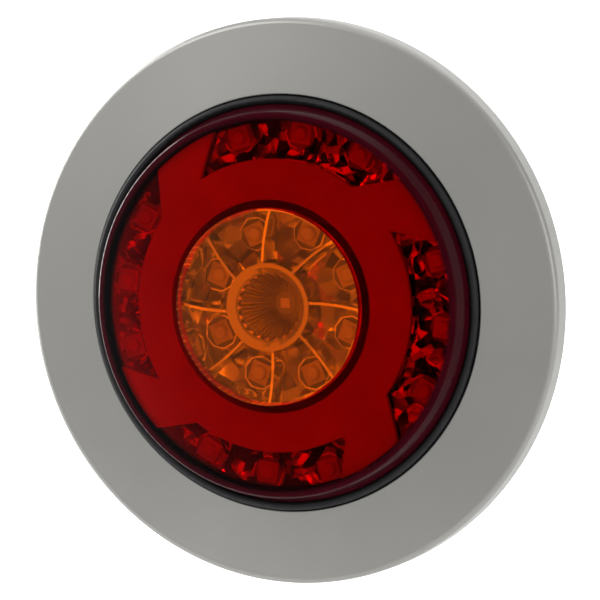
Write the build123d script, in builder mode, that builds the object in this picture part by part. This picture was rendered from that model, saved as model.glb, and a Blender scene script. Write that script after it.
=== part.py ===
"""Round LED rear lamp for a trailer: stainless trim ring, rubber gasket, domed lens, LED board and housing.

Millimetres. The lamp looks along -Y, +Z is up and +X is to the right as seen from in front. The origin
is on the lamp's axis, in the plane of the vehicle panel that it is bolted to. Heights called "forward"
are distances in front of that plane, so a forward height h lies at y = -h.
"""
import os
from math import atan2, cos, degrees, pi, radians, sin, sqrt

from build123d import *

os.makedirs("parts", exist_ok=True)

# ---------------------------------------------------------------- driving dimensions
# trim ring, a pressed stainless sheet
ring_outer_radius = 95.0
ring_inner_radius = 69.7
ring_edge_forward = 8.6
ring_inner_forward = 13.9
ring_back_forward = 0.4
ring_sheet = 1.0
ring_edge_round = 2.2
ring_lip_round = 0.5
ring_lip_depth = 3.4

# lens: a shallow dome on a drafted wall
dome_radius = 224.0
dome_apex = 31.3
lens_skin = 2.4
lens_edge_radius = 64.4
lens_wall_radius = 66.6
lens_wall_forward = 14.6
lens_foot_forward = 5.4
lens_wall = 2.4
lens_edge_round = 1.0
centre_lens_radius = 32.7
optic_gap = 0.3

# gasket between the lens and the trim ring
gasket_inner_radius = 66.65
gasket_outer_radius = 69.4
gasket_crest = 15.5
gasket_base = 8.0
gasket_crest_round = 1.3

# position light diffuser: a ring with four swept arms
diffuser_inner_radius = 35.6
diffuser_outer_radius = 61.4
diffuser_skin = 1.8
window_radius = 48.9
window_half_angle = 33.7
window_turn = 1.0
window_sweep = 9.0
window_sweep_radius = 62.2

# circuit board
board_radius = 61.0
board_back = 10.6
board_thickness = 1.6
board_notch_angle = 59
board_notch_radius = 2.0
board_front = board_back + board_thickness

# reflectors
base_plate = 1.2
pocket_recess = 2.0
pocket_taper = 54
pocket_sides = 8
diode_well_radius = 5.4
bowl_foot_radius = 5.8
red_led_radius = 57.3
red_led_turn = 6.0
red_led_spacing = 22.5
window_reflector_inner = 47.4
window_reflector_outer = 61.8
window_reflector_wall = 0.7
centre_reflector_radius = 32.9
centre_reflector_rim = 31.9
fin_count = 8
fin_half_thickness = 0.45
fin_swirl = 7.3
cell_taper = 50
cell_reach = 20
cell_sides = 9
boss_radius = 14.7
cone_front_radius = 11.6
cone_back_radius = 3.8
cone_rim = 1.6
amber_led_radius = 25.2

# light-emitting diodes
led_side = 7.0
led_height = 1.6
led_dome_height = 1.6
led_dome_share = 0.36
centre_led_side = 3.2
centre_led_height = 0.8
small_led_side = 2.0
small_led_height = 0.6
small_dome_height = 0.12
position_led_radius = 42.5
position_led_count = 16

# housing
spigot_radius = 62.0
spigot_back = 28.0
housing_wall = 2.4
flange_radius = 91.5
flange_back = 2.0
flange_front = 5.0
collar_radius = 73.0
collar_front = 8.0
groove_inner_radius = 64.1
groove_outer_radius = 66.7
rib_count = 12
rib_width = 1.6
post_radius = 3.6
post_bore_radius = 1.3
post_bore_depth = 14.0
vent_centre = (26, -22)
vent_bore_radius = 3.0
panel_gasket_radius = 88.0
panel_hole_clearance = 2.0

# fasteners
stud_circle_radius = 76.0
stud_count = 3
stud_radius = 3.0
stud_length = 22.0
stud_collar_radius = 3.4
stud_head_radius = 5.6
stud_head_height = 3.6
stud_clearance = 0.05
board_screw_radius = 42.5
board_screw_count = 4
board_screw_shank = 1.25
board_screw_head = 2.8
board_screw_head_height = 1.8
board_screw_grip = 12.0
recess_arm = 2.6
recess_width = 0.6
clip_circle_radius = 85.0
clip_foot_radius = 81.0
clip_width = 9.0
clip_tongue = 3.6
clip_screw_radius = 1.2
clip_screw_head = 2.5
clip_screw_head_height = 1.2
peg_circle_radius = 55.0
centre_peg_circle_radius = 18.0
peg_radius = 1.0
peg_clearance = 0.05
clip_count = 4

# electrical inlet at the back
inlet_offset = -26.0
inlet_barrel_radius = 11.0
inlet_bore_radius = 8.6
inlet_length = 18.0
inlet_flange_thickness = 2.5
inlet_neck_radius = 9.1
inlet_floor = 5.0
socket_screw_offset = 14.5
socket_screw_radius = 1.1
socket_screw_head = 2.3
socket_screw_head_height = 1.6
seal_inner_radius = 10.4
seal_outer_radius = 12.0
seal_depth = 1.0
seal_clearance = 0.05
pin_circle_radius = 5.0
pin_count = 6
pin_radius = 0.8

# ---------------------------------------------------------------- planes and shared outlines
degree = 180 / pi


def profile_at(degrees):
    """The half-plane of (radius, forward) points at a clockwise angle; a turned face has its seam there."""
    clock = radians(degrees)
    return Plane(
        origin=(0, 0, 0),
        x_dir=(sin(clock), 0, cos(clock)),
        z_dir=(cos(clock), 0, -sin(clock)),
    )


profile_plane = profile_at(50)
window_plane = profile_at(90)


def front_plane(forward):
    """A plane that faces forward, at this height in front of the panel."""
    return Plane.XZ.offset(forward)


def clock_point(radius, degrees):
    """A point at a clockwise angle from twelve o'clock, seen from in front."""
    return (radius * sin(radians(degrees)), radius * cos(radians(degrees)))


def dome_height(radius, depth=0.0):
    """Forward height of the dome at a radius, on the sphere this deep inside the outer surface."""
    return dome_apex - dome_radius + sqrt((dome_radius - depth) ** 2 - radius**2)


def dome_arc(start_radius, end_radius, depth):
    """The dome's meridian between two radii, as an arc in the profile plane."""
    middle_radius = (start_radius + end_radius) / 2
    return ThreePointArc(
        (start_radius, dome_height(start_radius, depth)),
        (middle_radius, dome_height(middle_radius, depth)),
        (end_radius, dome_height(end_radius, depth)),
    )


def turned(*points, mode=Mode.ADD):
    """Turn a closed outline of (radius, forward) points about the lamp's axis."""
    with BuildSketch(profile_plane) as outline:
        with BuildLine():
            Polyline(*points, close=True)
        make_face()
    revolve(outline.sketch, axis=Axis.Y, mode=mode)


def dome_side(depth, far_forward):
    """The space between the sphere this deep inside the lens and a flat far in front of it or behind it."""
    reach = 64.0
    with BuildPart(mode=Mode.PRIVATE) as space:
        with BuildSketch(profile_plane) as outline:
            with BuildLine():
                dome_arc(0, reach, depth)
                Polyline(
                    (reach, dome_height(reach, depth)),
                    (reach, far_forward),
                    (0, far_forward),
                    (0, dome_height(0, depth)),
                )
            make_face()
        revolve(outline.sketch, axis=Axis.Y)
    return space.part


def above_dome(depth):
    """Everything in front of the sphere this deep inside the lens."""
    return dome_side(depth, 60)


def below_dome(depth):
    """Everything behind the sphere this deep inside the lens."""
    return dome_side(depth, 0)


def window_outline(inner_radius, outer_radius, margin=0.0):
    """One of the swept windows at twelve o'clock, between two radii, grown by a margin on its sides."""
    far_radius = 74.0
    sweep = window_sweep * (far_radius - window_radius) / (window_sweep_radius - window_radius)
    near = window_half_angle + margin / window_radius * degree
    far = window_half_angle + margin / far_radius * degree
    with BuildSketch(mode=Mode.PRIVATE) as window:
        with BuildLine():
            Polyline(
                clock_point(window_radius, window_turn - near),
                clock_point(far_radius, window_turn + sweep - far),
                clock_point(far_radius * 1.3, window_turn + sweep),
                clock_point(far_radius, window_turn + sweep + far),
                clock_point(window_radius, window_turn + near),
                clock_point(window_radius * 0.7, window_turn),
                close=True,
            )
        make_face()
        Circle(inner_radius, mode=Mode.SUBTRACT)
        Circle(outer_radius, mode=Mode.INTERSECT)
    return window.sketch


def fin_angle(radius):
    """Clockwise lean of a fin's centre line at a radius: none at the rim, the full swirl at the boss."""
    share = (centre_reflector_rim - radius) / (centre_reflector_rim - boss_radius)
    return -fin_swirl * share


def cell_outline():
    """The space between the fins at twelve o'clock and the next one clockwise."""
    step = 360 / fin_count
    inner = boss_radius - 0.6
    outer = centre_reflector_rim + 2
    left = []
    right = []
    for radius in (inner, (inner + outer) / 2, outer):
        half = fin_half_thickness / radius * degree
        left.append(clock_point(radius, fin_angle(radius) + half))
        right.append(clock_point(radius, fin_angle(radius) + step - half))
    with BuildSketch(mode=Mode.PRIVATE) as cell:
        with BuildLine():
            Spline(*left)
            Line(left[-1], right[-1])
            Spline(*reversed(right))
            Line(right[0], left[0])
        make_face()
        Circle(centre_reflector_rim, mode=Mode.INTERSECT)
        Circle(boss_radius, mode=Mode.SUBTRACT)
    return cell.sketch


def around(radius, count, start=0.0):
    """Points evenly round the axis, clockwise from a start angle."""
    return [clock_point(radius, start + 360 * k / count) for k in range(count)]


def red_led_angles():
    """Clockwise angles of the three diodes in each of the four windows."""
    return [
        90 * window + red_led_turn + red_led_spacing * place
        for window in range(4)
        for place in (-1, 0, 1)
    ]


red_led_points = [clock_point(red_led_radius, angle) for angle in red_led_angles()]
amber_led_points = around(amber_led_radius, fin_count, 180 / fin_count - 2.0)
board_screw_points = around(board_screw_radius, board_screw_count, 45)
position_led_points = around(position_led_radius, position_led_count, 11.25)
arm_led_points = around(54.5, 4, 50)
stud_points = around(stud_circle_radius, stud_count)
clip_angles = [45 + 360 * k / clip_count for k in range(clip_count)]
clip_points = [clock_point(clip_circle_radius, angle) for angle in clip_angles]
peg_points = around(peg_circle_radius, 4, 42)
centre_peg_points = around(centre_peg_circle_radius, 3, 37)
inlet_centre = (0, inlet_offset)

# ---------------------------------------------------------------- stainless trim ring
with BuildPart() as trim_ring:
    slope = (ring_inner_forward - ring_edge_forward) / (ring_outer_radius - ring_inner_radius)
    turned(
        (ring_outer_radius, ring_back_forward),
        (ring_outer_radius, ring_edge_forward),
        (ring_inner_radius, ring_inner_forward),
        (ring_inner_radius, ring_inner_forward - ring_lip_depth),
        (ring_inner_radius + ring_sheet, ring_inner_forward - ring_lip_depth),
        (ring_inner_radius + ring_sheet, ring_inner_forward - ring_sheet * (1 + slope)),
        (ring_outer_radius - ring_sheet, ring_edge_forward - ring_sheet * (1 - slope)),
        (ring_outer_radius - ring_sheet, ring_back_forward),
    )
    face_edges = trim_ring.edges().filter_by(GeomType.CIRCLE)
    outer_edge = face_edges.filter_by(lambda e: abs(e.radius - ring_outer_radius) < 0.01).sort_by(Axis.Y)[0]
    inner_edge = face_edges.filter_by(lambda e: abs(e.radius - ring_inner_radius) < 0.01).sort_by(Axis.Y)[0]
    fillet(outer_edge, radius=ring_edge_round)
    fillet(inner_edge, radius=ring_lip_round)
    hidden_edges = trim_ring.edges().filter_by(GeomType.CIRCLE)
    hidden_radius = ring_outer_radius - ring_sheet
    hidden_edge = hidden_edges.filter_by(lambda e: abs(e.radius - hidden_radius) < 0.01).sort_by(Axis.Y)[0]
    fillet(hidden_edge, radius=ring_edge_round - ring_sheet)

# ---------------------------------------------------------------- rubber gasket round the lens
with BuildPart() as rubber_gasket:
    turned(
        (gasket_inner_radius, gasket_base),
        (gasket_outer_radius, gasket_base),
        (gasket_outer_radius, gasket_crest),
        (gasket_inner_radius, gasket_crest),
    )
    crest_edges = rubber_gasket.faces().sort_by(Axis.Y)[0].edges()
    fillet(crest_edges, radius=gasket_crest_round)

# ---------------------------------------------------------------- red lens, with the centre left out
with BuildPart() as outer_lens:
    inner_edge_radius = lens_edge_radius - lens_wall
    wall_inner_radius = lens_wall_radius - lens_wall
    with BuildSketch(profile_plane) as lens_outline:
        with BuildLine():
            dome_arc(centre_lens_radius, lens_edge_radius, 0)
            Polyline(
                (lens_edge_radius, dome_height(lens_edge_radius)),
                (lens_wall_radius, lens_wall_forward),
                (lens_wall_radius, lens_foot_forward),
                (wall_inner_radius, lens_foot_forward),
                (wall_inner_radius, lens_wall_forward),
                (inner_edge_radius, dome_height(inner_edge_radius, lens_skin)),
            )
            dome_arc(inner_edge_radius, centre_lens_radius, lens_skin)
            Line(
                (centre_lens_radius, dome_height(centre_lens_radius, lens_skin)),
                (centre_lens_radius, dome_height(centre_lens_radius)),
            )
        make_face()
    revolve(lens_outline.sketch, axis=Axis.Y)
    rounded = (
        outer_lens.edges()
        .filter_by(GeomType.CIRCLE)
        .filter_by(lambda e: abs(e.radius - lens_edge_radius) < 0.01)
    )
    fillet(rounded, radius=lens_edge_round)

# ---------------------------------------------------------------- clear centre of the lens
with BuildPart() as centre_lens:
    with BuildSketch(profile_plane) as centre_outline:
        with BuildLine():
            dome_arc(0, centre_lens_radius, 0)
            Line(
                (centre_lens_radius, dome_height(centre_lens_radius)),
                (centre_lens_radius, dome_height(centre_lens_radius, lens_skin)),
            )
            dome_arc(centre_lens_radius, 0, lens_skin)
            Line((0, dome_height(0, lens_skin)), (0, dome_height(0)))
        make_face()
    revolve(centre_outline.sketch, axis=Axis.Y)

# ---------------------------------------------------------------- bond between lens and housing
with BuildPart() as lens_sealant:
    turned(
        (groove_inner_radius, flange_front),
        (groove_outer_radius, flange_front),
        (groove_outer_radius, lens_foot_forward),
        (groove_inner_radius, lens_foot_forward),
    )

# ---------------------------------------------------------------- position light diffuser
diffuser_front_depth = lens_skin + optic_gap
diffuser_back_depth = diffuser_front_depth + diffuser_skin
skirt_radius = diffuser_inner_radius + 1.4


def diffuser_arm():
    """The arm between the windows at nine and twelve o'clock, a skin that follows the lens."""
    with BuildPart(mode=Mode.PRIVATE) as arm:
        with BuildSketch(front_plane(board_front)):
            Circle(diffuser_outer_radius)
            Circle(window_radius, mode=Mode.SUBTRACT)
            with PolarLocations(0, 2):
                add(window_outline(window_radius, 70), mode=Mode.SUBTRACT)
            with PolarLocations(0, 2, start_angle=90):
                add(window_outline(window_radius, 70), mode=Mode.SUBTRACT)
            with Locations((-40, 40)):
                Rectangle(80, 80, mode=Mode.INTERSECT)
        extrude(amount=16)
        add(above_dome(diffuser_front_depth), mode=Mode.SUBTRACT)
        add(below_dome(diffuser_back_depth), mode=Mode.SUBTRACT)
    return arm.part


with BuildPart() as position_diffuser:
    with BuildSketch(window_plane) as diffuser_outline:
        with BuildLine():
            dome_arc(diffuser_inner_radius, window_radius, diffuser_front_depth)
            Line(
                (window_radius, dome_height(window_radius, diffuser_front_depth)),
                (window_radius, dome_height(window_radius, diffuser_back_depth)),
            )
            dome_arc(window_radius, skirt_radius, diffuser_back_depth)
            Polyline(
                (skirt_radius, dome_height(skirt_radius, diffuser_back_depth)),
                (skirt_radius, board_front),
                (diffuser_inner_radius, board_front),
                (diffuser_inner_radius, dome_height(diffuser_inner_radius, diffuser_front_depth)),
            )
        make_face()
    revolve(diffuser_outline.sketch, axis=Axis.Y)
    arm_piece = diffuser_arm()
    for quarter in range(4):
        add(arm_piece, rotation=(0, 90 * quarter, 0))

# ---------------------------------------------------------------- reflector behind the four windows
reflector_depth = diffuser_back_depth + pocket_recess
pocket_floor = board_front + base_plate
well_reach = window_reflector_outer - window_reflector_wall


def pocket_block():
    """The pocket at twelve o'clock: a block under the diffuser, hollowed by a faceted bowl for each diode."""
    with BuildPart(mode=Mode.PRIVATE) as bowls:
        with BuildSketch(front_plane(pocket_floor)):
            with Locations(*red_led_points[:3]):
                RegularPolygon(bowl_foot_radius, pocket_sides)
        extrude(amount=9, taper=-pocket_taper)
    with BuildPart(mode=Mode.PRIVATE) as well:
        with BuildSketch(front_plane(board_front + 1)):
            add(window_outline(window_radius, well_reach))
        extrude(amount=20)
    with BuildPart(mode=Mode.PRIVATE) as block:
        with BuildSketch(front_plane(board_front)):
            add(window_outline(window_reflector_inner, window_reflector_outer, window_reflector_wall))
        extrude(amount=14)
        add(above_dome(reflector_depth), mode=Mode.SUBTRACT)
        add(bowls.part & well.part, mode=Mode.SUBTRACT)
    return block.part


with BuildPart() as window_reflector:
    with BuildSketch(front_plane(board_front)):
        Circle(window_reflector_outer)
        Circle(window_reflector_inner, mode=Mode.SUBTRACT)
    extrude(amount=base_plate)
    pocket = pocket_block()
    for quarter in range(4):
        add(pocket, rotation=(0, 90 * quarter, 0))
    with BuildSketch(front_plane(board_front)):
        with Locations(*red_led_points):
            RegularPolygon(diode_well_radius, pocket_sides)
        Circle(well_reach, mode=Mode.INTERSECT)
    extrude(amount=base_plate, mode=Mode.SUBTRACT)
    with BuildSketch(front_plane(board_front)):
        with Locations(*arm_led_points):
            Circle(3.0)
    extrude(amount=base_plate, mode=Mode.SUBTRACT)
    with BuildSketch(front_plane(board_back + 0.2)):
        with Locations(*peg_points):
            Circle(peg_radius)
    extrude(amount=board_thickness)

# ---------------------------------------------------------------- swirled centre reflector
cone_front = dome_height(cone_front_radius, lens_skin + optic_gap + 0.6)
cell_floor = board_front + base_plate


def centre_cells():
    """The eight cells between the fins: straight-walled above, faceted bowls round the diodes below."""
    with BuildPart(mode=Mode.PRIVATE) as walls:
        with BuildSketch(front_plane(board_front + base_plate / 2)):
            with PolarLocations(0, fin_count):
                add(cell_outline())
        extrude(amount=20)
    with BuildPart(mode=Mode.PRIVATE) as bowls:
        with BuildSketch(front_plane(cell_floor)):
            with Locations(*amber_led_points):
                RegularPolygon(bowl_foot_radius, cell_sides)
        extrude(amount=cell_reach, taper=-cell_taper)
    return walls.part & bowls.part


with BuildPart() as centre_reflector:
    with BuildSketch(front_plane(board_front)):
        Circle(centre_reflector_radius)
    extrude(amount=18)
    add(above_dome(lens_skin + optic_gap), mode=Mode.SUBTRACT)
    add(centre_cells(), mode=Mode.SUBTRACT)
    with BuildSketch(front_plane(board_front)):
        with Locations(*amber_led_points):
            RegularPolygon(diode_well_radius, cell_sides)
    extrude(amount=base_plate, mode=Mode.SUBTRACT)
    turned(
        (0, board_front),
        (cone_back_radius, board_front),
        (cone_back_radius, board_front + 1.5),
        (cone_front_radius, cone_front),
        (cone_front_radius + cone_rim, cone_front + 0.5),
        (cone_front_radius + cone_rim, cone_front + 3),
        (0, cone_front + 3),
        mode=Mode.SUBTRACT,
    )
    with BuildSketch(front_plane(board_back + 0.2)):
        with Locations(*centre_peg_points):
            Circle(peg_radius)
    extrude(amount=board_thickness)

# ---------------------------------------------------------------- circuit board
with BuildPart() as main_board:
    with BuildSketch(front_plane(board_back)):
        Circle(board_radius)
        with Locations(*board_screw_points):
            Circle(1.7, mode=Mode.SUBTRACT)
        with Locations(*peg_points, *centre_peg_points):
            Circle(peg_radius + peg_clearance, mode=Mode.SUBTRACT)
        with Locations(clock_point(board_radius, board_notch_angle)):
            Circle(board_notch_radius, mode=Mode.SUBTRACT)
    extrude(amount=board_thickness)


def diode_set(points, side, height, dome_height_above):
    """Square diode packages turned to face the axis, each with a round dome, standing on the board."""
    places = [Pos(x, y) * Rot(0, 0, -degrees(atan2(x, y))) for x, y in points]
    with BuildPart(mode=Mode.PRIVATE) as packages:
        with BuildSketch(front_plane(board_front)):
            with Locations(*places):
                Rectangle(side, side)
        extrude(amount=height)
        with BuildSketch(front_plane(board_front + height)):
            with Locations(*places):
                Circle(side * led_dome_share)
        extrude(amount=dome_height_above)
        dome_rims = packages.faces().sort_by(Axis.Y)[: len(points)].edges()
        fillet(dome_rims, radius=dome_height_above * 0.6)
    return packages.part


with BuildPart() as red_leds:
    add(diode_set(red_led_points, led_side, led_height, led_dome_height))

with BuildPart() as amber_leds:
    add(diode_set(amber_led_points, led_side, led_height, led_dome_height))

with BuildPart() as centre_led:
    add(diode_set([(0, 0)], centre_led_side, centre_led_height, small_dome_height))

with BuildPart() as position_leds:
    add(diode_set(position_led_points + arm_led_points, small_led_side, small_led_height, small_dome_height))

# ---------------------------------------------------------------- parts on the back of the board


def back_parts(points, width, length, height):
    """Rectangular components hanging from the board's back face."""
    with BuildPart(mode=Mode.PRIVATE) as bodies:
        with BuildSketch(front_plane(board_back)):
            with Locations(*points):
                Rectangle(width, length)
        extrude(amount=-height)
    return bodies.part


with BuildPart() as resistors:
    add(back_parts(around(52, 10, 18) + around(12, 5, 10), 3.2, 1.6, 0.6))

with BuildPart() as driver_chips:
    add(back_parts([(-30, 8), (30, 8), (-22, -32)], 5.0, 6.0, 1.6))
    chip_edges = driver_chips.faces().sort_by(Axis.Y)[-3:].edges()
    chamfer(chip_edges, length=0.3)

with BuildPart() as capacitors:
    with BuildSketch(front_plane(board_back)):
        with Locations((-14, 36), (14, 36)):
            Circle(4.0)
    extrude(amount=-8.5)
    can_edges = capacitors.faces().sort_by(Axis.Y)[-2:].edges()
    fillet(can_edges, radius=0.6)

with BuildPart() as diodes:
    add(back_parts([(-8, 22), (0, 22), (8, 22)], 3.8, 4.6, 2.3))

with BuildPart() as inductors:
    add(back_parts([(-43, -5), (43, -5)], 7.0, 7.0, 3.2))
    coil_edges = inductors.edges().filter_by(Axis.Y)
    fillet(coil_edges, radius=1.6)

header_depth = 6.0
with BuildPart() as board_header:
    with BuildSketch(front_plane(board_back)):
        with Locations(inlet_centre):
            Rectangle(15, 13)
    extrude(amount=-header_depth)
    with BuildSketch(front_plane(board_back - header_depth)):
        with Locations(inlet_centre):
            with PolarLocations(pin_circle_radius, pin_count):
                Circle(1.0)
    extrude(amount=4.5, mode=Mode.SUBTRACT)

# ---------------------------------------------------------------- housing
spigot_floor = -spigot_back + housing_wall
stud_seat = flange_front
socket_screw_points = [(-socket_screw_offset, inlet_offset), (socket_screw_offset, inlet_offset)]
with BuildPart() as housing:
    turned(
        (0, -spigot_back),
        (spigot_radius, -spigot_back),
        (spigot_radius, flange_back),
        (flange_radius, flange_back),
        (flange_radius, flange_front),
        (collar_radius, flange_front),
        (collar_radius, collar_front),
        (groove_outer_radius, collar_front),
        (groove_outer_radius, flange_front),
        (groove_inner_radius, flange_front),
        (groove_inner_radius, collar_front + 1),
        (groove_inner_radius - 2.2, collar_front + 1),
        (spigot_radius - housing_wall, flange_front - 1),
        (spigot_radius - housing_wall, spigot_floor),
        (0, spigot_floor),
    )
    back_rim = housing.faces().sort_by(Axis.Y)[-1].edges()
    fillet(back_rim, radius=1.8)
    with BuildSketch(front_plane(spigot_floor)):
        with Locations(*board_screw_points):
            Circle(post_radius)
    extrude(amount=board_back - spigot_floor)
    with BuildSketch(front_plane(board_back - post_bore_depth)):
        with Locations(*board_screw_points):
            Circle(post_bore_radius)
    extrude(amount=post_bore_depth, mode=Mode.SUBTRACT)
    with BuildSketch(front_plane(flange_front)):
        with PolarLocations((collar_radius + flange_radius) / 2, rib_count):
            Rectangle(flange_radius - collar_radius + 2, rib_width)
    extrude(amount=rib_width)
    with BuildSketch(front_plane(flange_front)):
        Circle(flange_radius + 5)
        Circle(flange_radius, mode=Mode.SUBTRACT)
    extrude(amount=4, mode=Mode.SUBTRACT)
    with BuildSketch(front_plane(flange_front)):
        with Locations(*stud_points):
            Circle(stud_head_radius + 1.6)
    extrude(amount=2.0)
    with BuildSketch(front_plane(flange_front)):
        with Locations(*stud_points):
            RegularPolygon(stud_head_radius + stud_clearance, 6)
    extrude(amount=8, mode=Mode.SUBTRACT)
    with BuildSketch(front_plane(flange_back)):
        with Locations(*stud_points):
            Circle(stud_collar_radius + stud_clearance)
    extrude(amount=6, mode=Mode.SUBTRACT)
    with BuildSketch(front_plane(-spigot_back)):
        with Locations(vent_centre):
            Circle(vent_bore_radius)
        with Locations(inlet_centre):
            Circle(inlet_neck_radius + 0.1)
        with Locations(*socket_screw_points):
            Circle(socket_screw_radius + 0.05)
    extrude(amount=housing_wall, mode=Mode.SUBTRACT)
    with BuildSketch(front_plane(-spigot_back)):
        with Locations(inlet_centre):
            Circle(seal_outer_radius)
            Circle(seal_inner_radius, mode=Mode.SUBTRACT)
    extrude(amount=seal_depth, mode=Mode.SUBTRACT)
    with BuildSketch(front_plane(flange_back)):
        with Locations(*clip_points):
            Circle(clip_screw_radius + 0.05)
    extrude(amount=flange_front - flange_back, mode=Mode.SUBTRACT)

# ---------------------------------------------------------------- foam gasket behind the flange
with BuildPart() as panel_gasket:
    with BuildSketch(front_plane(0)):
        Circle(panel_gasket_radius)
        Circle(spigot_radius + panel_hole_clearance, mode=Mode.SUBTRACT)
        with Locations(*stud_points):
            Circle(stud_collar_radius + 0.2, mode=Mode.SUBTRACT)
    extrude(amount=flange_back)

# ---------------------------------------------------------------- studs moulded into the flange
with BuildPart() as mounting_studs:
    with BuildSketch(front_plane(-stud_length)):
        with Locations(*stud_points):
            Circle(stud_radius)
    extrude(amount=stud_length + stud_seat)
    stud_tips = mounting_studs.faces().sort_by(Axis.Y)[-stud_count:].edges()
    chamfer(stud_tips, length=0.8)
    with BuildSketch(front_plane(0)):
        with Locations(*stud_points):
            Circle(stud_collar_radius)
    extrude(amount=stud_seat)
    with BuildSketch(front_plane(stud_seat)):
        with Locations(*stud_points):
            RegularPolygon(stud_head_radius, 6)
    extrude(amount=stud_head_height)

# ---------------------------------------------------------------- spring clips that hold the trim ring
clip_sheet = 0.6
clip_tongue_radius = ring_outer_radius - ring_sheet - 0.5
with BuildPart() as ring_clips:
    for angle in clip_angles:
        tilt = -angle
        with BuildSketch(front_plane(flange_front)):
            with Locations(Rot(0, 0, tilt)):
                with Locations((0, (clip_foot_radius + clip_tongue_radius) / 2)):
                    Rectangle(clip_width, clip_tongue_radius - clip_foot_radius)
                with Locations((0, clip_circle_radius)):
                    Circle(clip_screw_radius + 0.2, mode=Mode.SUBTRACT)
        extrude(amount=clip_sheet)
        with BuildSketch(front_plane(flange_front - clip_tongue)):
            with Locations(Rot(0, 0, tilt)):
                with Locations((0, clip_tongue_radius - clip_sheet / 2)):
                    Rectangle(clip_width, clip_sheet)
        extrude(amount=clip_tongue)

with BuildPart() as clip_screws:
    with BuildSketch(front_plane(flange_back + 0.2)):
        with Locations(*clip_points):
            Circle(clip_screw_radius)
    extrude(amount=flange_front - flange_back - 0.2 + clip_sheet)
    with BuildSketch(front_plane(flange_front + clip_sheet)):
        with Locations(*clip_points):
            Circle(clip_screw_head)
    extrude(amount=clip_screw_head_height)
    clip_head_rims = clip_screws.faces().sort_by(Axis.Y)[:clip_count].edges()
    fillet(clip_head_rims, radius=0.6)

# ---------------------------------------------------------------- screws that hold the board
with BuildPart() as board_screws:
    with BuildSketch(front_plane(board_back - board_screw_grip)):
        with Locations(*board_screw_points):
            Circle(board_screw_shank)
    extrude(amount=board_screw_grip + board_thickness)
    with BuildSketch(front_plane(board_front)):
        with Locations(*board_screw_points):
            Circle(board_screw_head)
    extrude(amount=board_screw_head_height)
    head_rims = board_screws.faces().sort_by(Axis.Y)[:board_screw_count].edges()
    fillet(head_rims, radius=0.6)
    with BuildSketch(front_plane(board_front + board_screw_head_height)):
        with Locations(*board_screw_points):
            Rectangle(recess_arm, recess_width)
            Rectangle(recess_width, recess_arm)
    extrude(amount=-board_screw_head_height / 2, mode=Mode.SUBTRACT)

# ---------------------------------------------------------------- breather at the back
with BuildPart() as vent_plug:
    with BuildSketch(front_plane(-spigot_back)):
        with Locations(vent_centre):
            Circle(5.5)
    extrude(amount=-2.6)
    vent_rim = vent_plug.faces().sort_by(Axis.Y)[-1].edges()
    fillet(vent_rim, radius=0.8)
    with BuildSketch(front_plane(-spigot_back)):
        with Locations(vent_centre):
            Circle(vent_bore_radius - 0.05)
    extrude(amount=housing_wall + 1)
    with BuildSketch(front_plane(-spigot_back - 1.3)):
        with Locations(vent_centre):
            with PolarLocations(0, 2):
                Rectangle(12, 1.2)
            Rectangle(1.2, 12)
    extrude(amount=0.8, mode=Mode.SUBTRACT)

# ---------------------------------------------------------------- electrical inlet
socket_mouth = -spigot_back - inlet_length
socket_floor = -spigot_back - inlet_floor
pin_tip = socket_mouth + 7
with BuildPart() as inlet_socket:
    with BuildSketch(front_plane(-spigot_back)):
        with Locations(inlet_centre):
            RectangleRounded(38, 26, 6)
        with Locations(*socket_screw_points):
            Circle(1.5, mode=Mode.SUBTRACT)
    extrude(amount=-inlet_flange_thickness)
    with BuildSketch(front_plane(-spigot_back)):
        with Locations(inlet_centre):
            Circle(inlet_barrel_radius)
    extrude(amount=-inlet_length)
    with BuildSketch(front_plane(-spigot_back)):
        with Locations(inlet_centre):
            Circle(inlet_neck_radius)
    extrude(amount=housing_wall)
    with BuildSketch(front_plane(socket_mouth)):
        with Locations(inlet_centre):
            Circle(inlet_bore_radius)
    extrude(amount=socket_floor - socket_mouth, mode=Mode.SUBTRACT)
    with BuildSketch(front_plane(socket_floor)):
        with Locations(inlet_centre):
            with PolarLocations(pin_circle_radius, pin_count):
                Circle(pin_radius)
    extrude(amount=12, mode=Mode.SUBTRACT)
    socket_lip = inlet_socket.faces().sort_by(Axis.Y)[-1].edges()
    chamfer(socket_lip, length=0.6)

with BuildPart() as socket_pins:
    with BuildSketch(front_plane(pin_tip)):
        with Locations(inlet_centre):
            with PolarLocations(pin_circle_radius, pin_count):
                Circle(pin_radius)
    extrude(amount=spigot_floor + 2 - pin_tip)
    pin_ends = socket_pins.faces().sort_by(Axis.Y)[-pin_count:].edges()
    chamfer(pin_ends, length=0.3)

with BuildPart() as internal_leads:
    with BuildSketch(front_plane(spigot_floor + 2)):
        with Locations(inlet_centre):
            with PolarLocations(pin_circle_radius, pin_count):
                Circle(0.95)
    extrude(amount=board_back - header_depth + 4 - spigot_floor - 2)

with BuildPart() as socket_seal:
    with BuildSketch(front_plane(-spigot_back)):
        with Locations(inlet_centre):
            Circle(seal_outer_radius - seal_clearance)
            Circle(seal_inner_radius + seal_clearance, mode=Mode.SUBTRACT)
    extrude(amount=seal_depth - seal_clearance)

with BuildPart() as socket_screws:
    with BuildSketch(front_plane(-spigot_back - inlet_flange_thickness)):
        with Locations(*socket_screw_points):
            Circle(socket_screw_radius)
    extrude(amount=inlet_flange_thickness + housing_wall - 0.2)
    with BuildSketch(front_plane(-spigot_back - inlet_flange_thickness)):
        with Locations(*socket_screw_points):
            Circle(socket_screw_head)
    extrude(amount=-socket_screw_head_height)
    with BuildSketch(front_plane(-spigot_back - inlet_flange_thickness - socket_screw_head_height)):
        with Locations(*socket_screw_points):
            Rectangle(recess_arm, recess_width)
            Rectangle(recess_width, recess_arm)
    extrude(amount=socket_screw_head_height / 2, mode=Mode.SUBTRACT)

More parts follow.
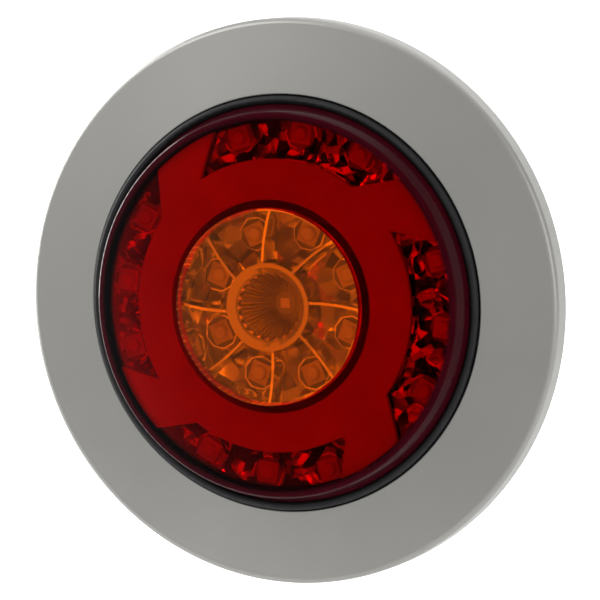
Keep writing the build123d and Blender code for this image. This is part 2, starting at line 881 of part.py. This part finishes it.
# ---------------------------------------------------------------- hand-over
pieces = {
    "trim_ring": trim_ring,
    "rubber_gasket": rubber_gasket,
    "outer_lens": outer_lens,
    "centre_lens": centre_lens,
    "lens_sealant": lens_sealant,
    "position_diffuser": position_diffuser,
    "window_reflector": window_reflector,
    "centre_reflector": centre_reflector,
    "main_board": main_board,
    "red_leds": red_leds,
    "amber_leds": amber_leds,
    "centre_led": centre_led,
    "position_leds": position_leds,
    "resistors": resistors,
    "driver_chips": driver_chips,
    "capacitors": capacitors,
    "diodes": diodes,
    "inductors": inductors,
    "board_header": board_header,
    "housing": housing,
    "panel_gasket": panel_gasket,
    "mounting_studs": mounting_studs,
    "ring_clips": ring_clips,
    "clip_screws": clip_screws,
    "board_screws": board_screws,
    "vent_plug": vent_plug,
    "inlet_socket": inlet_socket,
    "socket_pins": socket_pins,
    "internal_leads": internal_leads,
    "socket_seal": socket_seal,
    "socket_screws": socket_screws,
}
for name, piece in pieces.items():
    piece.part.label = name
    export_step(piece.part, f"parts/{name}.step")
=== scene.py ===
"""Looks for the round trailer tail light: materials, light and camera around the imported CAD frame."""

from math import cos, radians, sin

import bpy
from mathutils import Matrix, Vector

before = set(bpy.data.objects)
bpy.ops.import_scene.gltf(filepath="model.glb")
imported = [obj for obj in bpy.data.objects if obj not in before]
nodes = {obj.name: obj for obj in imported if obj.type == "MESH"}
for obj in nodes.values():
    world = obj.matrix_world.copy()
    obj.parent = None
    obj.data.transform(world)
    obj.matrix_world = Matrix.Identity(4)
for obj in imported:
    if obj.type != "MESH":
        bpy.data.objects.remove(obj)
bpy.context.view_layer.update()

# ---------------------------------------------------------------- camera
AZIMUTH = 22.6
ELEVATION = 5.5
DISTANCE = 1.8
VIEW_HEIGHT = 0.2010
SHIFT_RIGHT = 0.00174
SHIFT_UP = 0.00033
CENTRE = Vector((0, -0.0045, 0))
FLUTE_COUNT = 22
# flat boss rim of the centre reflector painted darker than its facets and cone: painted shade
RIM_PAINTED_SHADE = (0.54, 0.53, 0.51)
CONE_TONE = (1.0, 0.98, 0.95)
FACET_END = 0.7
SENSOR_WIDTH = 36.0
WORLD_STRENGTH = 1.0

# ---------------------------------------------------------------- zones, as distances from the axis
BOSS_ZONE = (0.0156, 0.0150)
CONE_ZONE = (0.0117, 0.0112)
FLUTE_ZONE = (0.0112, 0.0104)
LENS_WALL_ZONE = (0.0612, 0.0634)

# ---------------------------------------------------------------- shared surface values
ACRYLIC_IOR = 1.49
GLOSS_CEILING = 0.85
FACET_RELIEF = 0.0007
ZINC_LOW = (0.55, 0.56, 0.6)
ZINC_HIGH = (0.68, 0.68, 0.7)
DIODE_LOW = (0.62, 0.5, 0.3)
DIODE_HIGH = (0.8, 0.7, 0.45)
THREAD_SCALE = 314.0

# ---------------------------------------------------------------- material tools


def clear_tree(name):
    """A new material with an empty node tree and its output node."""
    material = bpy.data.materials.new(name)
    material.use_nodes = True
    tree = material.node_tree
    tree.nodes.clear()
    output = tree.nodes.new("ShaderNodeOutputMaterial")
    return material, tree, output


def node(tree, kind, **settings):
    """A node with its sockets or properties set by name."""
    made = tree.nodes.new(kind)
    for name, value in settings.items():
        if hasattr(made, name):
            setattr(made, name, value)
        else:
            made.inputs[name.replace("_", " ")].default_value = value
    return made


def noise(tree, scale, detail=4.0, stretch=(1, 1, 1)):
    """Object-space noise, stretched along the axes."""
    place = node(tree, "ShaderNodeTexCoord")
    mapping = node(tree, "ShaderNodeMapping")
    mapping.inputs["Scale"].default_value = stretch
    tree.links.new(place.outputs["Object"], mapping.inputs["Vector"])
    made = node(tree, "ShaderNodeTexNoise", Scale=scale, Detail=detail)
    tree.links.new(mapping.outputs["Vector"], made.inputs["Vector"])
    return made.outputs["Fac"]


def ramp(tree, source, low, high, start=0.3, end=0.7):
    """A colour ramp between two colours, driven by a factor."""
    made = node(tree, "ShaderNodeValToRGB")
    made.color_ramp.elements[0].position = start
    made.color_ramp.elements[0].color = (*low, 1)
    made.color_ramp.elements[1].position = end
    made.color_ramp.elements[1].color = (*high, 1)
    tree.links.new(source, made.inputs["Fac"])
    return made.outputs["Color"]


def span(tree, source, low, high):
    """A factor mapped from 0..1 to low..high."""
    made = node(tree, "ShaderNodeMapRange")
    made.inputs["To Min"].default_value = low
    made.inputs["To Max"].default_value = high
    tree.links.new(source, made.inputs["Value"])
    return made.outputs["Result"]


def bump(tree, source, strength, distance):
    """A bump normal from a height."""
    made = node(tree, "ShaderNodeBump", Strength=strength, Distance=distance)
    tree.links.new(source, made.inputs["Height"])
    return made.outputs["Normal"]


def solid(name, low, high, rough, metallic=0.0, grain=400.0, relief=0.15, depth=0.0002, specular=0.5):
    """An opaque Principled material whose colour, roughness and relief vary with fine noise."""
    material, tree, output = clear_tree(name)
    shader = node(tree, "ShaderNodeBsdfPrincipled")
    shader.inputs["Metallic"].default_value = metallic
    shader.inputs["Specular IOR Level"].default_value = specular
    fine = noise(tree, grain)
    broad = noise(tree, grain / 12, 2.0)
    tree.links.new(ramp(tree, broad, low, high), shader.inputs["Base Color"])
    tree.links.new(span(tree, fine, rough[0], rough[1]), shader.inputs["Roughness"])
    tree.links.new(bump(tree, fine, relief, depth), shader.inputs["Normal"])
    tree.links.new(shader.outputs["BSDF"], output.inputs["Surface"])
    return material


def radius_from_axis(tree):
    """Distance from the lamp's axis, in metres."""
    place = node(tree, "ShaderNodeTexCoord")
    parts = node(tree, "ShaderNodeSeparateXYZ")
    tree.links.new(place.outputs["Object"], parts.inputs["Vector"])
    flat = node(tree, "ShaderNodeCombineXYZ")
    tree.links.new(parts.outputs["X"], flat.inputs["X"])
    tree.links.new(parts.outputs["Z"], flat.inputs["Z"])
    length = node(tree, "ShaderNodeVectorMath", operation="LENGTH")
    tree.links.new(flat.outputs["Vector"], length.inputs[0])
    return length.outputs["Value"]


def stainless():
    """Satin-polished stainless sheet: faint turned lines round the axis and slow patches of tone."""
    material, tree, output = clear_tree("satin_stainless")
    shader = node(tree, "ShaderNodeBsdfPrincipled", Metallic=1.0)
    radius = radius_from_axis(tree)
    rings = node(tree, "ShaderNodeTexNoise", Scale=2600.0, Detail=3.0)
    rings.noise_dimensions = "1D"
    tree.links.new(radius, rings.inputs["W"])
    patches = noise(tree, 22.0, 3.0)
    tone = ramp(tree, patches, (0.240, 0.237, 0.224), (0.256, 0.253, 0.239))
    tree.links.new(tone, shader.inputs["Base Color"])
    tree.links.new(span(tree, rings.outputs["Fac"], 0.42, 0.46), shader.inputs["Roughness"])
    tree.links.new(bump(tree, rings.outputs["Fac"], 0.03, 0.00002), shader.inputs["Normal"])
    tree.links.new(shader.outputs["BSDF"], output.inputs["Surface"])
    return material


def step_at(tree, source, start, end):
    """A factor that rises smoothly from 0 to 1 between two values of its source."""
    made = node(tree, "ShaderNodeMapRange")
    made.interpolation_type = "SMOOTHSTEP"
    made.inputs["From Min"].default_value = start
    made.inputs["From Max"].default_value = end
    tree.links.new(source, made.inputs["Value"])
    return made.outputs["Result"]


def tinted_clear(name, tint, gloss_rough, ripple, gloss_floor, wall=None):
    """Transparent moulded acrylic: a tinted see-through body under a glossy surface, thicker at the wall."""
    material, tree, output = clear_tree(name)
    through = node(tree, "ShaderNodeBsdfTransparent")
    through.inputs["Color"].default_value = (*tint, 1)
    body = through.outputs["BSDF"]
    if wall:
        thick = node(tree, "ShaderNodeBsdfDiffuse")
        cloud = noise(tree, 90.0, 3.0)
        tree.links.new(ramp(tree, cloud, wall, [1.25 * part for part in wall]), thick.inputs["Color"])
        edge = node(tree, "ShaderNodeMixShader")
        tree.links.new(step_at(tree, radius_from_axis(tree), *LENS_WALL_ZONE), edge.inputs["Fac"])
        tree.links.new(body, edge.inputs[1])
        tree.links.new(thick.outputs["BSDF"], edge.inputs[2])
        body = edge.outputs["Shader"]
    gloss = node(tree, "ShaderNodeBsdfGlossy", Roughness=gloss_rough)
    gloss.inputs["Color"].default_value = (1, 1, 1, 1)
    waves = noise(tree, 60.0, 2.0)
    normal = bump(tree, waves, ripple, 0.0002)
    tree.links.new(normal, gloss.inputs["Normal"])
    facing = node(tree, "ShaderNodeFresnel", IOR=ACRYLIC_IOR)
    tree.links.new(normal, facing.inputs["Normal"])
    share = span(tree, facing.outputs["Fac"], gloss_floor, GLOSS_CEILING)
    mix = node(tree, "ShaderNodeMixShader")
    tree.links.new(share, mix.inputs["Fac"])
    tree.links.new(body, mix.inputs[1])
    tree.links.new(gloss.outputs["BSDF"], mix.inputs[2])
    tree.links.new(mix.outputs["Shader"], output.inputs["Surface"])
    return material


def threaded(name, low, high):
    """Zinc-plated steel with a fine thread round the Y axis; the base colour follows the thread, darker in the
    grooves: painted shade.
    """
    material, tree, output = clear_tree(name)
    shader = node(tree, "ShaderNodeBsdfPrincipled", Metallic=1.0)
    place = node(tree, "ShaderNodeTexCoord")
    turns = node(tree, "ShaderNodeTexWave", Scale=THREAD_SCALE)
    turns.bands_direction = "Y"
    turns.wave_profile = "TRI"
    tree.links.new(place.outputs["Object"], turns.inputs["Vector"])
    # painted shade in the thread grooves: colour runs from the dark colour in the grooves to the light one on the
    # crests
    tree.links.new(ramp(tree, turns.outputs["Fac"], low, high), shader.inputs["Base Color"])
    tree.links.new(span(tree, noise(tree, 500.0), 0.28, 0.42), shader.inputs["Roughness"])
    tree.links.new(bump(tree, turns.outputs["Fac"], 0.8, 0.0005), shader.inputs["Normal"])
    tree.links.new(shader.outputs["BSDF"], output.inputs["Surface"])
    return material


def flutes(tree, radius):
    """Radial flutes down the cone round the axis, faded out at the cone's rim."""
    place = node(tree, "ShaderNodeTexCoord")
    parts = node(tree, "ShaderNodeSeparateXYZ")
    tree.links.new(place.outputs["Object"], parts.inputs["Vector"])
    angle = node(tree, "ShaderNodeMath", operation="ARCTAN2")
    tree.links.new(parts.outputs["Z"], angle.inputs[0])
    tree.links.new(parts.outputs["X"], angle.inputs[1])
    turns = node(tree, "ShaderNodeMath", operation="MULTIPLY")
    turns.inputs[1].default_value = FLUTE_COUNT
    tree.links.new(angle.outputs["Value"], turns.inputs[0])
    wave = node(tree, "ShaderNodeMath", operation="SINE")
    tree.links.new(turns.outputs["Value"], wave.inputs[0])
    inside = step_at(tree, radius, *FLUTE_ZONE)
    held = node(tree, "ShaderNodeMath", operation="MULTIPLY")
    tree.links.new(wave.outputs["Value"], held.inputs[0])
    tree.links.new(inside, held.inputs[1])
    return held.outputs["Value"]


def faceted_metal(name, low, high, flute_depth, scale, relief, metallic):
    """Vacuum-metallised plastic broken into small facets, each facet's base colour painted from dark to bright:
    painted highlights and painted shade, cell by cell.
    """
    material, tree, output = clear_tree(name)
    shader = node(tree, "ShaderNodeBsdfPrincipled", Metallic=metallic)
    place = node(tree, "ShaderNodeTexCoord")
    cells = node(tree, "ShaderNodeTexVoronoi", Scale=scale)
    tree.links.new(place.outputs["Object"], cells.inputs["Vector"])
    tone = node(tree, "ShaderNodeSeparateColor")
    tree.links.new(cells.outputs["Color"], tone.inputs["Color"])
    # painted facet highlights and painted facet shade: each cell's base colour is drawn between the dark and the
    # bright colour
    colour = ramp(tree, tone.outputs["Red"], low, high, 0.25, FACET_END)
    if flute_depth:
        # painted shade on the flat boss rim: a darker base colour there; the cone keeps the full bright metal tone
        plain = node(tree, "ShaderNodeMix", data_type="RGBA")
        tree.links.new(step_at(tree, radius_from_axis(tree), *BOSS_ZONE), plain.inputs["Factor"])
        tree.links.new(colour, plain.inputs[6])
        plain.inputs[7].default_value = (*RIM_PAINTED_SHADE, 1)
        cone = node(tree, "ShaderNodeMix", data_type="RGBA")
        tree.links.new(step_at(tree, radius_from_axis(tree), *CONE_ZONE), cone.inputs["Factor"])
        tree.links.new(plain.outputs[2], cone.inputs[6])
        cone.inputs[7].default_value = (*CONE_TONE, 1)
        colour = cone.outputs[2]
    tree.links.new(colour, shader.inputs["Base Color"])
    tree.links.new(span(tree, tone.outputs["Green"], 0.05, 0.14), shader.inputs["Roughness"])
    normal = node(tree, "ShaderNodeBump", Strength=relief, Distance=FACET_RELIEF)
    tree.links.new(cells.outputs["Distance"], normal.inputs["Height"])
    last = normal.outputs["Normal"]
    if flute_depth:
        ribs = node(tree, "ShaderNodeBump", Strength=1.0, Distance=flute_depth)
        tree.links.new(flutes(tree, radius_from_axis(tree)), ribs.inputs["Height"])
        tree.links.new(last, ribs.inputs["Normal"])
        last = ribs.outputs["Normal"]
    tree.links.new(last, shader.inputs["Normal"])
    tree.links.new(shader.outputs["BSDF"], output.inputs["Surface"])
    return material


def diffuser_red():
    """Matte red light-diffusing acrylic, with a soft cloudiness."""
    return solid("red_diffuser", (0.49, 0.008, 0.008), (0.585, 0.011, 0.011), (0.55, 0.7), grain=900.0, relief=0.08)


materials = {
    "trim_ring": stainless(),
    "rubber_gasket": solid(
        "gasket_rubber", (0.004, 0.004, 0.005), (0.008, 0.008, 0.009), (0.45, 0.6), grain=1500.0, specular=0.22,
    ),
    "outer_lens": tinted_clear("red_lens", (0.84, 0.006, 0.012), 0.04, 0.04, -0.034, (0.024, 0.001, 0.003)),
    "centre_lens": tinted_clear("amber_lens", (1.0, 0.61, 0.10), 0.04, 0.04, -0.029),
    "lens_sealant": solid("sealant", (0.03, 0.03, 0.03), (0.05, 0.05, 0.05), (0.4, 0.6)),
    "position_diffuser": diffuser_red(),
    # window facets painted from near black to white: painted shade and painted highlights
    "window_reflector": faceted_metal(
        "window_metal", (0.03, 0.03, 0.03), (1.0, 0.98, 0.98), 0.0, 260.0, 0.9, 1.0,
    ),
    # centre facets painted from grey to white: painted shade and painted highlights
    "centre_reflector": faceted_metal(
        "centre_metal", (0.58, 0.57, 0.54), (1.0, 0.99, 0.97), 0.0010, 125.0, 0.75, 0.86,
    ),
    "main_board": solid("board_mask", (0.30, 0.31, 0.30), (0.42, 0.43, 0.42), (0.35, 0.5), grain=700.0),
    "red_leds": solid("diode_resin_red", DIODE_LOW, DIODE_HIGH, (0.2, 0.35), grain=900.0),
    "amber_leds": solid("diode_resin_amber", DIODE_LOW, DIODE_HIGH, (0.2, 0.35), grain=900.0),
    "centre_led": solid("diode_resin_centre", DIODE_LOW, DIODE_HIGH, (0.2, 0.35), grain=900.0),
    "position_leds": solid(
        "diode_resin_small", (0.7, 0.68, 0.6), (0.82, 0.8, 0.7), (0.25, 0.4), grain=900.0,
    ),
    "resistors": solid("chip_ceramic", (0.02, 0.02, 0.02), (0.05, 0.05, 0.05), (0.3, 0.5)),
    "driver_chips": solid(
        "chip_resin", (0.015, 0.015, 0.016), (0.03, 0.03, 0.032), (0.4, 0.6), grain=1200.0,
    ),
    "capacitors": solid("capacitor_sleeve", (0.45, 0.46, 0.48), (0.6, 0.6, 0.62), (0.25, 0.35), 1.0),
    "diodes": solid("diode_black", (0.02, 0.02, 0.02), (0.04, 0.04, 0.04), (0.35, 0.5)),
    "inductors": solid("ferrite", (0.03, 0.03, 0.034), (0.06, 0.06, 0.065), (0.5, 0.7)),
    "board_header": solid("header_nylon", (0.04, 0.04, 0.04), (0.07, 0.07, 0.07), (0.4, 0.55)),
    "housing": solid(
        "housing_plastic", (0.013, 0.013, 0.015), (0.024, 0.024, 0.027), (0.42, 0.6), grain=1400.0,
    ),
    "panel_gasket": solid(
        "closed_foam", (0.012, 0.012, 0.012), (0.035, 0.035, 0.035), (0.8, 0.95), grain=2200.0, relief=0.6,
    ),
    # stud thread grooves painted darker: painted shade
    "mounting_studs": threaded("zinc_studs", (0.34, 0.35, 0.37), (0.62, 0.62, 0.64)),
    "ring_clips": solid("spring_steel", (0.4, 0.4, 0.42), (0.52, 0.52, 0.55), (0.25, 0.4), 1.0),
    "clip_screws": solid("zinc_clip_screws", ZINC_LOW, ZINC_HIGH, (0.25, 0.4), 1.0),
    "board_screws": solid("zinc_board_screws", ZINC_LOW, ZINC_HIGH, (0.25, 0.4), 1.0),
    "vent_plug": solid(
        "vent_plastic", (0.03, 0.03, 0.033), (0.045, 0.045, 0.05), (0.4, 0.55), grain=1200.0,
    ),
    "inlet_socket": solid(
        "socket_nylon", (0.018, 0.018, 0.02), (0.03, 0.03, 0.033), (0.38, 0.5), grain=1200.0,
    ),
    "socket_pins": solid("tinned_brass", (0.62, 0.5, 0.28), (0.75, 0.62, 0.36), (0.2, 0.35), 1.0),
    "internal_leads": solid("lead_jacket", (0.4, 0.02, 0.02), (0.5, 0.04, 0.03), (0.4, 0.5)),
    "socket_seal": solid("seal_rubber", (0.01, 0.01, 0.01), (0.02, 0.02, 0.02), (0.5, 0.65)),
    "socket_screws": solid("zinc_socket_screws", ZINC_LOW, ZINC_HIGH, (0.25, 0.4), 1.0),
}
for name, material in materials.items():
    slots = nodes[name].data.materials
    slots.clear()
    slots.append(material)

# ---------------------------------------------------------------- stage and light


def backdrop():
    """A pale floor that curves up into a pale wall behind the lamp."""
    depth = 3.2
    wall = 2.6
    half_width = 3.5
    floor_height = -0.16
    bend = 0.8
    steps = 16
    line = [(-0.12, 0.0)]
    for k in range(steps + 1):
        turn = radians(90) * k / steps
        line.append((depth - bend + bend * sin(turn), bend * (1 - cos(turn))))
    line.append((depth, wall))
    points = []
    for y, z in line:
        points.append((-half_width, y, floor_height + z))
        points.append((half_width, y, floor_height + z))
    faces = [(2 * k, 2 * k + 1, 2 * k + 3, 2 * k + 2) for k in range(len(line) - 1)]
    mesh = bpy.data.meshes.new("backdrop")
    mesh.from_pydata(points, [], faces)
    made = bpy.data.objects.new("backdrop", mesh)
    bpy.context.scene.collection.objects.link(made)
    paper = solid("backdrop_paper", (0.93, 0.93, 0.93), (0.96, 0.96, 0.96), (0.85, 0.95), grain=30.0, relief=0.0)
    made.data.materials.append(paper)


def panel_light(name, place, aim, width, height, power, colour=(1, 1, 1)):
    """A soft rectangular lamp that faces a point."""
    data = bpy.data.lights.new(name, "AREA")
    data.shape = "RECTANGLE"
    data.size = width
    data.size_y = height
    data.energy = power
    data.color = colour
    made = bpy.data.objects.new(name, data)
    made.location = place
    made.rotation_euler = (Vector(aim) - Vector(place)).to_track_quat("-Z", "Y").to_euler()
    bpy.context.scene.collection.objects.link(made)


backdrop()
panel_light("key", (-1.3, -1.3, 1.5), (0, 0, 0), 0.8, 0.8, 14)
panel_light("fill", (1.9, -0.9, 0.4), (0, 0, 0), 0.5, 1.6, 10)
panel_light("left_strip", (-1.9, 0.15, 0.3), (0, 0, 0), 0.9, 2.0, 42)
panel_light("left_rim", (-1.7, 0.75, 0.2), (0, 0, 0), 0.9, 2.0, 25)
panel_light("top", (0.0, -0.4, 1.9), (0, 0, 0), 1.2, 0.8, 5)
panel_light("back_wash", (0.0, 1.2, 2.2), (0, 3.0, 0.3), 3.0, 1.0, 60)

world = bpy.data.worlds.new("studio")
world.use_nodes = True
world.node_tree.nodes["Background"].inputs["Color"].default_value = (1, 1, 1, 1)
world.node_tree.nodes["Background"].inputs["Strength"].default_value = WORLD_STRENGTH
bpy.context.scene.world = world
bpy.context.scene.view_settings.view_transform = "Standard"

camera_data = bpy.data.cameras.new("camera")
camera = bpy.data.objects.new("camera", camera_data)
back = Vector((
    sin(radians(AZIMUTH)) * cos(radians(ELEVATION)),
    -cos(radians(AZIMUTH)) * cos(radians(ELEVATION)),
    sin(radians(ELEVATION)),
))
right = Vector((cos(radians(AZIMUTH)), sin(radians(AZIMUTH)), 0))
target = CENTRE + right * SHIFT_RIGHT + back.cross(right) * SHIFT_UP
camera.location = target + back * DISTANCE
camera.rotation_euler = back.to_track_quat("Z", "Y").to_euler()
camera_data.sensor_width = SENSOR_WIDTH
camera_data.lens = camera_data.sensor_width * DISTANCE / VIEW_HEIGHT
bpy.context.scene.collection.objects.link(camera)
bpy.context.scene.camera = camera
